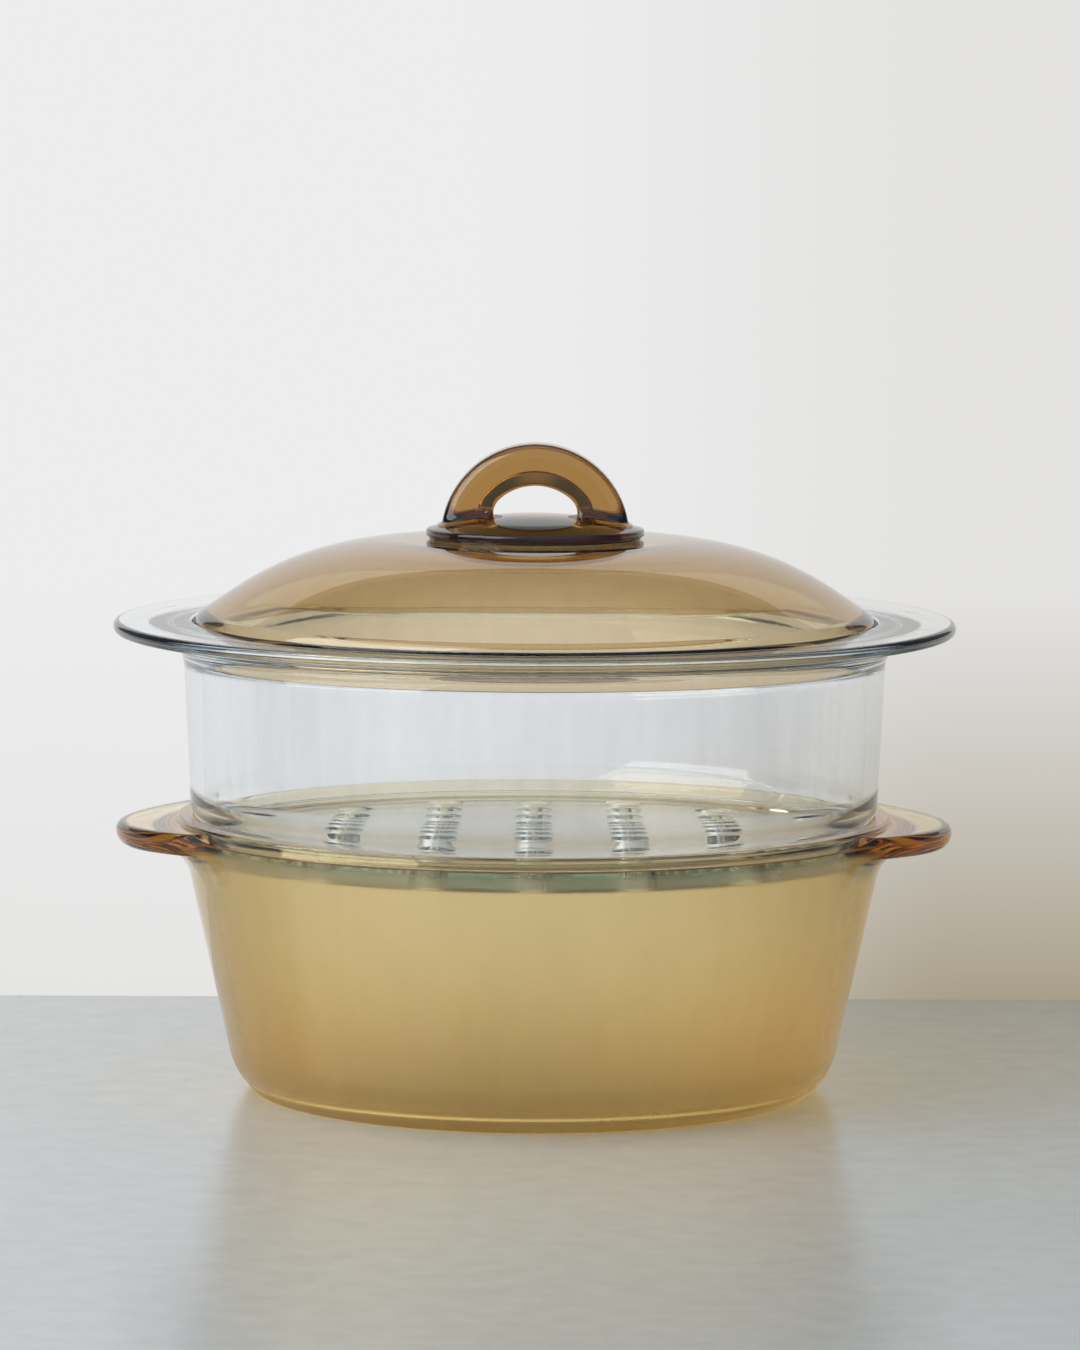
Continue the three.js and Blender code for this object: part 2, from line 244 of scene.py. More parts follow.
def flat_part(outer, holes, guards, extra, height, upwards):
    """Sheet between an outer outline and convex holes, as triangles that keep to every outline.

    height gives z for each point. Triangles whose three corners lie on one hole fill it and are left out.
    """
    loops = [outer, *holes, *guards]
    points = np.vstack([*loops, extra])
    label = np.concatenate([
        *(np.full(len(loop), k) for k, loop in enumerate(loops)),
        np.full(len(extra), -1),
    ])
    starts = np.cumsum([0] + [len(loop) for loop in loops])
    edges = np.vstack([
        start + np.stack([np.arange(len(loop)), (np.arange(len(loop)) + 1) % len(loop)], axis=1)
        for start, loop in zip(starts, loops)
    ])
    found = delaunay_2d_cdt([Vector(p) for p in points.tolist()], edges.tolist(), [], 0, MERGE)
    source = np.array([origin[0] for origin in found[3]])
    faces = source[np.array(found[2])]
    name = label[faces]
    in_hole = (name[:, 0] == name[:, 1]) & (name[:, 1] == name[:, 2])
    in_hole &= (name[:, 0] >= 1) & (name[:, 0] <= len(holes))
    faces = faces[~in_hole]
    a, b, c = (points[faces[:, k]] for k in range(3))
    area = (b[:, 0] - a[:, 0]) * (c[:, 1] - a[:, 1]) - (b[:, 1] - a[:, 1]) * (c[:, 0] - a[:, 0])
    wrong = (area > 0) != upwards
    faces[wrong] = faces[wrong][:, ::-1]
    return np.column_stack([points, height(points)]), faces


def make_piece(name, parts, material, body, node):
    """Joins the parts of a piece, welds seams and poles, and sets it in the frame in place of its node."""
    vertices, faces, start = [], [], 0
    for points, part_faces in parts:
        vertices.append(points)
        faces += (part_faces + start).tolist()
        start += len(points)
    mesh = bpy.data.meshes.new(name)
    mesh.from_pydata(np.vstack(vertices).tolist(), [], faces)
    work = bmesh.new()
    work.from_mesh(mesh)
    bmesh.ops.remove_doubles(work, verts=work.verts, dist=WELD)
    work.to_mesh(mesh)
    work.free()
    mesh.shade_smooth()
    mesh.materials.append(material)
    piece = bpy.data.objects.new(name, mesh)
    bpy.context.scene.collection.objects.link(piece)
    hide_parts(node)
    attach(piece, body)
    return piece


def point_places(piece):
    """Array of a piece's points."""
    places = np.empty(len(piece.data.vertices) * 3, np.float32)
    piece.data.vertices.foreach_get("co", places)
    return places.reshape(-1, 3)


def mark_satin(piece, where):
    """Keeps how satin a piece's surface is at each point, 0 to 1, for its material."""
    attribute = piece.data.attributes.new("satin", "FLOAT", "POINT")
    attribute.data.foreach_set("value", where.astype(np.float32))


def ease(x):
    """Smooth step from 0 to 1."""
    x = np.clip(x, 0, 1)
    return x * x * (3 - 2 * x)


def soft_above(x, blend):
    """x where it is above 0, fading smoothly to 0 below: blend * log(1 + exp(x / blend))."""
    return blend * np.logaddexp(0, x / blend)


# Pot

LUG_ROOT_BLEND = 2.4 * MM
LUG_FILLET = 10 * MM
LUG_EDGE = 2.8 * MM
LUG_START = 66 * MM
LUG_FILLET_FOOT = 68.5 * MM
LUG_TOP = 85 * MM
LUG_SLOPE = math.tan(math.radians(3))
LUG_ROOT = 105 * MM
LUG_EASE = 4.5 * MM
LUG_END = 85.2 * MM
LUG_WALL = 110.8 * MM
LUG_WALL_ROWS = (76 * MM, 78 * MM, 82 * MM, 84.8 * MM)
LUG_RISE_ROWS = 14
LUG_OUT_ROWS = 7
LUG_BEND_ROWS = 16
LUG_BACK_ROWS = 9
LUG_HOME_ROWS = 5
LUG_HOME_SHARE = 0.06
LUG_CLOSENESS = 4
LUG_CLOSE_SPAN = math.radians(46)
LUG_CLOSE_FADE = math.radians(10)
ANGLE_TRIALS = 7201
POT_FLAT_ROUND = 2.5 * MM
POT_FOOT_HEIGHT = 5.5 * MM
POT_INNER_FLAT_ROUND = 6 * MM
POT_INNER_FOOT_HEIGHT = 8.5 * MM
POT_INNER_FOOT_ROUND = 14 * MM
POT_RIM_ROUND = 1 * MM
SEAT_ROUND = 0.5 * MM
POT_COLUMNS = 360
FOOT_TINT = (1.0, 0.88, 0.66)
FOOT_SATIN = 0.4
FOOT_SATIN_LOW = 5 * MM
FOOT_SATIN_HIGH = 24 * MM
SATIN_BELOW_SEAT = 1 * MM


def lug_angles():
    """Angles round the pot, closer together along the lugs than between them."""
    even = np.linspace(0, 2 * math.pi, ANGLE_TRIALS)
    off_axis = np.arctan2(np.abs(np.sin(even)), np.abs(np.cos(even)))
    density = 1 + (LUG_CLOSENESS - 1) * ease((LUG_CLOSE_SPAN - off_axis) / LUG_CLOSE_FADE)
    total = np.concatenate([[0], np.cumsum((density[1:] + density[:-1]) / 2)])
    return np.interp(np.arange(POT_COLUMNS) / POT_COLUMNS * total[-1], total, even)


def lug_reach(angles, tip, radius):
    """How far a lug stands out from the wall at each angle.

    Its plan is a circle about a point on the lug's axis, in polar form: centre * cos a plus the root of
    radius squared less the square of centre * sin a. It fades into the wall with a soft threshold.
    """
    centre = tip - radius
    beside = centre * np.sin(angles)
    plan = centre * np.abs(np.cos(angles)) + np.sqrt(np.maximum(radius ** 2 - beside ** 2, 0))
    return soft_above(plan - LUG_WALL, LUG_ROOT_BLEND)


def lug_rows(thickness):
    """Rows of the pot's outside across a lug, from below its fillet to above its root.

    Each row has its height on the bare wall, its height on a level lug, its share of the lug's droop,
    and its shares of the three reaches: fillet, blade and rounded edge.
    """
    under = LUG_TOP - thickness
    rise = np.linspace(0, math.pi / 2, LUG_RISE_ROWS)
    out = np.linspace(0, 1, LUG_OUT_ROWS + 1)[1:]
    bend = np.linspace(0, math.pi, LUG_BEND_ROWS + 1)[1:]
    back = np.linspace(1, LUG_HOME_SHARE, LUG_BACK_ROWS + 1)[1:]
    home = np.linspace(0, math.pi / 2, LUG_HOME_ROWS + 1)[1:]
    wall_ends = np.array([LUG_START, *LUG_WALL_ROWS, LUG_END])
    sizes = [len(rise), len(out), len(bend), len(back), len(home)]
    bare = [np.linspace(a, b, n + 1)[1:] for a, b, n in zip(wall_ends, wall_ends[1:], sizes)]
    heights = [
        LUG_FILLET_FOOT + (under - LUG_FILLET_FOOT) * np.sin(rise),
        under + 0 * out,
        LUG_TOP - thickness / 2 - thickness / 2 * np.cos(bend),
        LUG_TOP + 0 * back,
        LUG_TOP + (LUG_END - LUG_TOP) * (1 - np.cos(home)),
    ]
    droop = [np.sin(rise), 1 + 0 * out, 1 + 0 * bend, 1 + 0 * back, np.cos(home)]
    root = LUG_HOME_SHARE * (1 - np.sin(home))
    fillet = [1 - np.cos(rise), 1 + 0 * out, 1 + 0 * bend, back, root]
    blade = [0 * rise, out, 1 + 0 * bend, back, root]
    edge = [0 * rise, 0 * out, np.sin(bend), 0 * back, 0 * home]
    return [np.concatenate(rows) for rows in (bare, heights, droop, fillet, blade, edge)]


def pot_grid(sizes):
    """Pot as one closed grid: a turned bowl whose outer rows swell into the lugs.

    Across a lug a row stands off the wall by the sum of its shares of the fillet, blade and edge
    reaches, and its height eases from the bare wall's to the lug's as the reach grows. The blade is
    flat and droops along X: slope * (distance past the root).
    """
    angles = lug_angles()
    slope = (sizes.rim - sizes.foot) / sizes.height
    inner_foot = sizes.foot + slope * POT_INNER_FOOT_HEIGHT - sizes.wall
    seat = sizes.height - sizes.seat_depth
    below = rounded([
        (0, 0, 0),
        (sizes.flat, 0, POT_FLAT_ROUND),
        (sizes.foot + slope * POT_FOOT_HEIGHT, POT_FOOT_HEIGHT, sizes.foot_round),
        (sizes.foot + slope * LUG_START, LUG_START, 0),
    ])
    above = rounded([
        (sizes.foot + slope * LUG_END, LUG_END, 0),
        (sizes.rim, sizes.height, POT_RIM_ROUND),
        (sizes.seat, sizes.height, POT_RIM_ROUND),
        (sizes.seat, seat, SEAT_ROUND),
        (sizes.mouth, seat, SEAT_ROUND),
        (inner_foot, POT_INNER_FOOT_HEIGHT, POT_INNER_FOOT_ROUND),
        (sizes.flat_inside, sizes.base, POT_INNER_FLAT_ROUND),
        (0, sizes.base, 0),
    ])
    bare, heights, droop, fillet, blade, edge = (rows[:, None] for rows in lug_rows(sizes.lug_thickness))
    reach = lug_reach(angles, sizes.lug_tip, sizes.lug_round)
    fillet_reach = LUG_FILLET * np.tanh(reach / LUG_FILLET)
    edge_reach = LUG_EDGE * np.tanh((reach - fillet_reach) / LUG_EDGE)
    blade_reach = reach - fillet_reach - edge_reach
    share = ease(reach / LUG_EASE)
    z = bare + share * (heights - bare)
    r = sizes.foot + slope * z + fillet * fillet_reach + blade * blade_reach + edge * edge_reach
    z = z - share * droop * LUG_SLOPE * np.maximum(r * np.abs(np.cos(angles)) - LUG_ROOT, 0)
    lugs = np.stack([r * np.cos(angles), r * np.sin(angles), z], axis=-1)
    return np.concatenate([turned(below, angles), lugs, turned(above[1:], angles)])


class COOKER_OT_pot(Operator):
    """Make the amber pot with its two lugs"""

    bl_idname = "cooker.make_pot"
    bl_label = "Pot"

    def execute(self, context):
        sizes = context.scene.cooker_pot
        tint = context.scene.cooker_glass.amber
        amber = glass(
            "amber glass ceramic", tint, haze=0.05, wave=0.04, grain=60,
            mask="satin", mask_haze=0.55, foot=FOOT_TINT,
        )
        pot = make_piece("pot", [grid_part(pot_grid(sizes))], amber, "pot", "pot_body")
        x, y, z = point_places(pot).T
        inner = sizes.foot + (sizes.rim - sizes.foot) / sizes.height * z - sizes.wall / 2
        inside = (np.hypot(x, y) < inner) & (z < sizes.height - sizes.seat_depth - SATIN_BELOW_SEAT)
        outside = FOOT_SATIN * (1 - ease((z - FOOT_SATIN_LOW) / (FOOT_SATIN_HIGH - FOOT_SATIN_LOW)))
        mark_satin(pot, np.where(inside, 1, outside))
        return {"FINISHED"}


# Steamer

FLOOR_EDGE = 94.7 * MM
PLUG_EDGE = 96.5 * MM
PLUG_TAPER = 0.8 * MM
PLUG_ROUND = 3 * MM
WALL_FOOT_ROUND = 8 * MM
FLANGE_ROUND = 1.85 * MM
FLANGE_FILLET = 11 * MM
RECESS_ROUND = 1 * MM
INNER_BEND = (102.2 * MM, 9.3 * MM)
INNER_BEND_ROUND = 20 * MM
FLOOR_CORNER = 98.2 * MM
FLOOR_ROUND = 5 * MM
HOLE_LIP = 0.6 * MM
HOLE_LIP_ROUND = 0.98 * HOLE_LIP
HOLE_GUARD = 0.2 * MM


def hole_places(sizes):
    """Centres of the steam holes: a rectangular lattice inside a round field."""
    columns, rows = int(sizes.field / sizes.pitch_x), int(sizes.field / sizes.pitch_y)
    lattice = np.mgrid[-columns:columns + 1, -rows:rows + 1].reshape(2, -1).T
    places = lattice * np.array([sizes.pitch_x, sizes.pitch_y])
    return places[np.hypot(*places.T) <= sizes.field]


def steamer_parts(sizes):
    """Steamer from a turned wall, two flat sheets with holes and a spool for each hole.

    The wall's profile runs from the plug's underside round the flange to the floor. A spool is the
    profile of a hole, straight with rounded lips, turned about each hole's centre.
    """
    base = sizes.shoulder
    under, top = base - sizes.plug_depth, base - sizes.plug_depth + sizes.floor
    flange_under = base + sizes.flange_top - sizes.flange_thickness
    flange_top = base + sizes.flange_top
    ledge = flange_top - sizes.recess_depth
    profile = rounded([
        (PLUG_EDGE, under, 0),
        (sizes.plug - PLUG_TAPER, under, PLUG_ROUND),
        (sizes.plug, base, SEAT_ROUND),
        (sizes.neck, base, SEAT_ROUND),
        (sizes.neck, base + sizes.neck_height, SEAT_ROUND),
        (sizes.wall_foot, base + sizes.foot_height, WALL_FOOT_ROUND),
        (sizes.wall_top, flange_under, FLANGE_FILLET),
        (sizes.flange, flange_under, FLANGE_ROUND),
        (sizes.flange, flange_top, FLANGE_ROUND),
        (sizes.recess, flange_top, RECESS_ROUND),
        (sizes.recess, ledge, SEAT_ROUND),
        (sizes.mouth, ledge, SEAT_ROUND),
        (INNER_BEND[0], base + INNER_BEND[1], INNER_BEND_ROUND),
        (FLOOR_CORNER, top, FLOOR_ROUND),
        (FLOOR_EDGE, top, 0),
    ])
    angles = full_turn(TURN_COLUMNS)
    wall = turned(profile, angles)
    spool = rounded([
        (sizes.hole + HOLE_LIP, top, 0),
        (sizes.hole, top, HOLE_LIP_ROUND),
        (sizes.hole, under, HOLE_LIP_ROUND),
        (sizes.hole + HOLE_LIP, under, 0),
    ])
    places = hole_places(sizes)
    around = full_turn(HOLE_COLUMNS)
    circle = np.stack([np.cos(around), np.sin(around)], axis=1)
    spools = turned(spool, around)[None] + np.column_stack([places, 0 * places[:, 0]])[:, None, None]
    spool_faces = grid_faces(*spools.shape[1:3])
    count = spools.shape[1] * spools.shape[2]
    all_faces = (spool_faces[None] + count * np.arange(len(places))[:, None, None]).reshape(-1, 4)
    holes = [place + circle * spool[0, 0] for place in places]
    guards = [place + circle * (spool[0, 0] + HOLE_GUARD) for place in places]
    none = np.empty((0, 2))

    def sheet(row, z, upwards):
        return flat_part(wall[row, :, :2], holes, guards, none, lambda p: np.full(len(p), z), upwards)

    return [
        grid_part(wall),
        (spools.reshape(-1, 3), all_faces),
        sheet(-1, top, True),
        sheet(0, under, False),
    ]


class COOKER_OT_steamer(Operator):
    """Make the clear steamer with its perforated floor"""

    bl_idname = "cooker.make_steamer"
    bl_label = "Steamer"

    def execute(self, context):
        sizes = context.scene.cooker_steamer
        tint = context.scene.cooker_glass.clear
        clear = glass(
            "clear pressed glass", tint, haze=0.02, wave=0.05, grain=35, mask="satin", mask_haze=0.14,
        )
        parts = steamer_parts(sizes)
        steamer = make_piece("steamer", parts, clear, "steamer", "steamer_basket")
        x, y, z = point_places(steamer).T
        mark_satin(steamer, (np.hypot(x, y) < FLOOR_EDGE + WELD) & (z < sizes.shoulder + WELD))
        return {"FINISHED"}


# Lid

CAP_CORNER = (70.7 * MM, 28.2 * MM)
CAP_ROUND = 93 * MM
CAP_INSIDE = (69.46 * MM, 24.23 * MM)
DOME_FOOT = (100.5 * MM, 3.7 * MM)
DOME_FOOT_ROUND = 2 * MM
CONE_END = 5.1 * MM
LID_EDGE_ROUND = 4.6 * MM


def lid_profile(sizes):
    """Profile of the lid: underside from the axis to the rim's seat, then up over the dome to the axis."""
    seat = sizes.seat
    return rounded([
        (0, seat + sizes.top - sizes.thickness, 0),
        (CAP_INSIDE[0], seat + CAP_INSIDE[1], CAP_ROUND - sizes.thickness),
        (DOME_FOOT[0], seat + DOME_FOOT[1], DOME_FOOT_ROUND),
        (sizes.seat_inner, seat, SEAT_ROUND),
        (sizes.rim, seat, SEAT_ROUND),
        (sizes.rim, seat + CONE_END, LID_EDGE_ROUND),
        (CAP_CORNER[0], seat + CAP_CORNER[1], CAP_ROUND),
        (0, seat + sizes.top, 0),
    ])


class COOKER_OT_lid(Operator):
    """Make the brown dome of the lid"""

    bl_idname = "cooker.make_lid"
    bl_label = "Lid"

    def execute(self, context):
        sizes = context.scene.cooker_lid
        tint = context.scene.cooker_glass.brown
        brown = glass("brown pressed glass", tint, haze=0.02, wave=0.03, grain=30)
        dome = turned(lid_profile(sizes), full_turn(TURN_COLUMNS))
        make_piece("lid", [grid_part(dome)], brown, "lid", "lid_dome")
        return {"FINISHED"}


# Handle

LOOP_CENTRE = -0.4 * MM
DISC_RIM = 32.9 * MM
FOOT_FILLET = 3.6 * MM
FOOT_FILLET_LEAN = 2.2 * MM
CROWN_SLOPE = 1.6 * MM / CAP_CORNER[0]
CLOSE = 0.3 * MM
HANDLE_COLUMNS = 160
CORNER_STEPS = 9
SIDE_STEPS = 6
SIDE_GUARD = 0.06
FOOT_TRIALS = np.radians(np.linspace(-5, 40, 181))
FILLET_ROWS = 16
FILLET_SHARE = 0.16
ARCH_ROWS = 25
DISC_TOP_BAND = 1 * MM
FOOT_GUARD = 1.03
FOOT_CLEAR = 0.7 * MM
RIM_CLEAR = 0.8 * MM
RING_COUNT = 15
RING_STEP = 2.1 * MM
RING_SPOKES = 48
RING_TWIST = 0.03 / MM
DISC_CORNER = 16.4 * MM
DISC_ROUND = 120 * MM
DISC_EDGE_ROUND = 0.9 * MM
DISC_FOOT_ROUND = 0.3 * MM
BOND_THICKNESS = 0.5 * MM
BOND_ROUND = 0.2 * MM
BOND_COLUMNS = 128
BOND_UNEVEN = 0.012
BOND_SLOW_WAVES = 3
BOND_QUICK_WAVES = 7
BOND_WAVE_START = 0.4


def crown_drop(radius):
    """How far the dome's crown lies below its top at a radius."""
    return CROWN_SLOPE * radius


def disc_profile(sizes):
    """Profile of the foot disc: hollow underside, rounded edge, domed top."""
    under = sizes.crown + 2 * CLOSE + BOND_THICKNESS
    return rounded([
        (0, under, 0),
        (sizes.disc, under - crown_drop(sizes.disc), DISC_FOOT_ROUND),
        (sizes.disc, sizes.crown + sizes.disc_edge, DISC_EDGE_ROUND),
        (DISC_CORNER, sizes.crown + sizes.disc_top, DISC_ROUND),
        (0, sizes.crown + sizes.disc_top, 0),
    ])


def loop_section(sizes):
    """Section of the loop in radius and depth: points and unit normals round a four-sided outline.

    The side at the finger hole slants, so the hole is wider at the back. A corner is an arc about the
    point that lies its rounding inside both sides, corner - rounding * (n1 + n2) / (1 + n1 . n2).
    """
    half = sizes.depth / 2
    corners = np.array([
        [sizes.loop, half], [sizes.finger_back, half], [sizes.finger, -half], [sizes.loop, -half],
    ])
    rounds = (sizes.edge, sizes.finger_edge, sizes.finger_edge, sizes.edge)
    along = np.roll(corners, -1, axis=0) - corners
    ends = np.unwrap(np.arctan2(-along[:, 0], along[:, 1]))
    starts = np.concatenate([[ends[-1] - 2 * math.pi], ends[:-1]])
    arcs, turns = [], []
    for corner, size, start, end in zip(corners, rounds, starts, ends):
        angle = np.linspace(start, end, CORNER_STEPS)
        normal = np.stack([np.cos(angle), np.sin(angle)], axis=1)
        centre = corner - size * (normal[0] + normal[-1]) / (1 + normal[0] @ normal[-1])
        arcs.append(centre + size * normal)
        turns.append(normal)
    share = np.linspace(SIDE_GUARD, 1 - SIDE_GUARD, SIDE_STEPS)[:, None]
    points, normals = [], []
    for k, arc in enumerate(arcs):
        after = arcs[(k + 1) % len(arcs)][0]
        points += [arc, arc[-1] + share * (after - arc[-1])]
        normals += [turns[k], np.repeat(turns[k][-1:], len(share), axis=0)]
    return np.vstack(points), np.vstack(normals)


def loop_grid(sizes, top):
    """Loop as its section carried over a half circle, flaring into a fillet at each foot.

    For each point of the section the angle runs from where the bare ring meets the disc up to the
    crown of the arch. Near the disc the section grows by the offset of a quarter circle, so that the
    last row lies on the disc.
    """
    outline, normals = loop_section(sizes)
    fillet = FOOT_FILLET - FOOT_FILLET_LEAN * normals[:, 0]

    def place(angle, grow):
        section = outline + normals * grow[..., None]
        ring = section[..., 0]
        height = sizes.crown + LOOP_CENTRE + ring * np.sin(angle)
        return np.stack([ring * np.cos(angle), section[..., 1] + 0 * angle, height], axis=-1)

    def clearance(points):
        return points[..., 2] - top(np.hypot(points[..., 0], points[..., 1]))

    trial = FOOT_TRIALS[:, None]
    heights = clearance(place(trial + 0 * fillet, 0 * trial + 0 * fillet))
    foot = np.array([np.interp(0, h, FOOT_TRIALS) for h in heights.T])
    near = FILLET_SHARE * np.linspace(0, 1, FILLET_ROWS + 1)[:-1] ** 2
    share = np.concatenate([near, np.linspace(FILLET_SHARE, 1, ARCH_ROWS)])[:, None]
    angle = foot + (math.pi / 2 - foot) * share
    bare = clearance(place(angle, 0 * angle))
    left = np.clip(1 - bare / fillet, 0, 1)
    grow = fillet * (1 - np.sqrt(np.maximum(1 - left ** 2, 0)))
    points = place(angle, grow)
    points[0, :, 2] = top(np.hypot(points[0, :, 0], points[0, :, 1]))
    other = points[-2::-1] * np.array([-1, 1, 1])
    return np.concatenate([points, other])


def handle_parts(sizes):
    """Handle from the disc's turned underside and edge, its domed top with two footprints, and the loop."""
    profile = disc_profile(sizes)
    over = profile[:, 1] > sizes.crown + sizes.disc_edge - DISC_TOP_BAND
    upper = profile[over]
    order = np.argsort(upper[:, 0])

    def top(radius):
        return np.interp(radius, upper[order, 0], upper[order, 1])

    edge_row = int(np.argmax(over & (profile[:, 0] < DISC_RIM)))
    body = turned(profile[:edge_row + 1], full_turn(HANDLE_COLUMNS))
    loop = loop_grid(sizes, top)
    feet = [loop[0, :, :2], loop[-1, :, :2]]
    middles = [foot.mean(axis=0) for foot in feet]
    guards = [middle + (foot - middle) * FOOT_GUARD for foot, middle in zip(feet, middles)]
    rings = np.arange(1, RING_COUNT + 1)[:, None] * RING_STEP
    spokes = full_turn(RING_SPOKES) + RING_TWIST * rings
    extra = np.stack([rings * np.cos(spokes), rings * np.sin(spokes)], axis=-1).reshape(-1, 2)
    extra = np.vstack([np.zeros((1, 2)), extra])
    extra = extra[np.hypot(*extra.T) < DISC_RIM - RIM_CLEAR]
    for foot, middle in zip(feet, middles):
        away = extra - middle
        size = np.abs(foot - middle).max(axis=0) + FOOT_CLEAR
        extra = extra[np.max(np.abs(away) / size, axis=1) > 1]
    cover = flat_part(body[-1, :, :2], feet, guards, extra, lambda p: top(np.hypot(*p.T)), True)
    return [grid_part(body), grid_part(loop), cover]


class COOKER_OT_handle(Operator):
    """Make the loop handle and its foot disc"""

    bl_idname = "cooker.make_handle"
    bl_label = "Loop handle"

    def execute(self, context):
        sizes = context.scene.cooker_handle
        tint = context.scene.cooker_glass.brown
        brown = glass("brown handle glass", tint, haze=0.03, wave=0.04, grain=55)
        make_piece("loop_handle", handle_parts(sizes), brown, "lid", "lid_handle")
        return {"FINISHED"}


class COOKER_OT_bond(Operator):
    """Make the thin layer that bonds the handle to the dome"""

    bl_idname = "cooker.make_bond"
    bl_label = "Bond"

    def execute(self, context):
        sizes = context.scene.cooker_handle
        low = sizes.crown + CLOSE
        drop = crown_drop(sizes.bond)
        profile = rounded([
            (0, low, 0),
            (sizes.bond, low - drop, BOND_ROUND),
            (sizes.bond, low + BOND_THICKNESS - drop, BOND_ROUND),
            (0, low + BOND_THICKNESS, 0),
        ])
        angles = full_turn(BOND_COLUMNS)
        points = turned(profile, angles)
        slow = np.sin(BOND_SLOW_WAVES * angles + BOND_WAVE_START)
        quick = np.sin(BOND_QUICK_WAVES * angles)
        uneven = 1 - BOND_UNEVEN * (1 + slow / 2 + quick / 2)
        points[..., :2] *= uneven[:, None]
        # Painted shade: the bond's tint is near-black, so that the seam between the disc and the dome reads
        # dark
        tint = context.scene.cooker_glass.bond
        resin = glass("bonding resin darkened as painted shade", tint, haze=0.08, wave=0.1, grain=90)
        make_piece("handle_bond_layer", [grid_part(points)], resin, "lid", "handle_bond")
        return {"FINISHED"}


# Finishes

WHITE = (1.0, 1.0, 1.0, 1.0)
GLASS_IOR = 1.5
TINT_DEPTH = 10 * MM
DENSITY_MARGIN = 1.05
SHADOW_CLEAR = (0.95, 0.95, 0.95, 1.0)
WAVE_DEPTH = 0.5 * MM
CORD_SCALE = 150.0
CORD_STRETCH = (1.0, 1.0, 0.18)
CORD_SHARE = 0.25
CORD_RUN = (0.3, 0.7)
CORD_STREAKS = (0.95, 1.0)
FILM_SCALE = 28.0
FILM_ROUGHNESS = 0.65
FILM_RUN = (0.45, 0.75)
FILM_MARKS = (0.8, 1.5)
FOOT_TINT_HIGH = 70 * MM
FOOT_TINT_LOW = 4 * MM


def add(tree, kind, settings=None, **inputs):
    """A node with its settings and its inputs, which are values or sockets to link."""
    made = tree.nodes.new(kind)
    for name, value in (settings or {}).items():
        setattr(made, name, value)
    for name, value in inputs.items():
        socket = made.inputs[int(name[1:])] if name[1:].isdigit() else made.inputs[name.replace("_", " ")]
        if isinstance(value, bpy.types.NodeSocket):
            tree.links.new(value, socket)
        else:
            socket.default_value = value
    return made


def worked_out(tree, operation, *values, clamp=False):
    """Result of an operation on sockets and numbers."""
    inputs = {f"_{k}": value for k, value in enumerate(values)}
    return add(tree, "ShaderNodeMath", {"operation": operation, "use_clamp": clamp}, **inputs).outputs[0]


def remapped(tree, value, old, new):
    """A value's run from old[0] to old[1] as a run from new[0] to new[1]."""
    return add(tree, "ShaderNodeMapRange", Value=value, _1=old[0], _2=old[1], _3=new[0], _4=new[1]).outputs[0]


def ramp(tree, value, low, high):
    """Smooth step of a value, 0 at low and 1 at high."""
    return add(
        tree, "ShaderNodeMapRange", {"interpolation_type": "SMOOTHSTEP"}, Value=value, _1=low, _2=high,
    ).outputs[0]


def mixed_colour(tree, share, first, second):
    """Colour that goes from the first to the second with a share."""
    return add(tree, "ShaderNodeMix", {"data_type": "RGBA"}, _0=share, _6=first, _7=second).outputs[2]


def scaled(tree, tone, factor):
    """A colour times a value."""
    return add(tree, "ShaderNodeVectorMath", {"operation": "SCALE"}, _0=tone, Scale=factor).outputs[0]


def empty_material(name):
    """New material without nodes, and its node tree."""
    material = bpy.data.materials.new(name)
    material.use_nodes = True
    material.node_tree.nodes.clear()
    return material, material.node_tree


def pressed_glass_finish():
    """Group for pressed glass: waves and upright cords for a bump, faint haze and faint streaks of tint.

    The tint deepens to the foot's colour from FOOT_TINT_HIGH down to FOOT_TINT_LOW.
    """
    name = "pressed glass finish"
    if name in bpy.data.node_groups:
        return bpy.data.node_groups[name]
    tree = bpy.data.node_groups.new(name, "ShaderNodeTree")
    for way, label, kind in (
        ("INPUT", "Vector", "NodeSocketVector"),
        ("INPUT", "Grain", "NodeSocketFloat"),
        ("INPUT", "Haze", "NodeSocketFloat"),
        ("INPUT", "Foot", "NodeSocketColor"),
        ("OUTPUT", "Height", "NodeSocketFloat"),
        ("OUTPUT", "Roughness", "NodeSocketFloat"),
        ("OUTPUT", "Tint", "NodeSocketColor"),
    ):
        tree.interface.new_socket(name=label, in_out=way, socket_type=kind)
    given = tree.nodes.new("NodeGroupInput").outputs
    place = given["Vector"]
    waves = add(tree, "ShaderNodeTexNoise", Vector=place, Scale=given["Grain"], Detail=1.0)
    drawn = add(tree, "ShaderNodeMapping", Vector=place, Scale=CORD_STRETCH)
    cords = add(tree, "ShaderNodeTexNoise", Vector=drawn.outputs[0], Scale=CORD_SCALE, Detail=2.0)
    film = add(
        tree, "ShaderNodeTexNoise", Vector=place, Scale=FILM_SCALE, Detail=5.0, Roughness=FILM_ROUGHNESS,
    )
    height = worked_out(tree, "MULTIPLY_ADD", cords.outputs[0], CORD_SHARE, waves.outputs[0])
    marks = remapped(tree, film.outputs[0], FILM_RUN, FILM_MARKS)
    rough = worked_out(tree, "MULTIPLY", marks, given["Haze"])
    streaks = remapped(tree, cords.outputs[0], CORD_RUN, CORD_STREAKS)
    axes = add(tree, "ShaderNodeSeparateXYZ", Vector=place)
    low = ramp(tree, axes.outputs["Z"], FOOT_TINT_HIGH, FOOT_TINT_LOW)
    tint = scaled(tree, mixed_colour(tree, low, WHITE, given["Foot"]), streaks)
    add(tree, "NodeGroupOutput", Height=height, Roughness=rough, Tint=tint)
    return tree


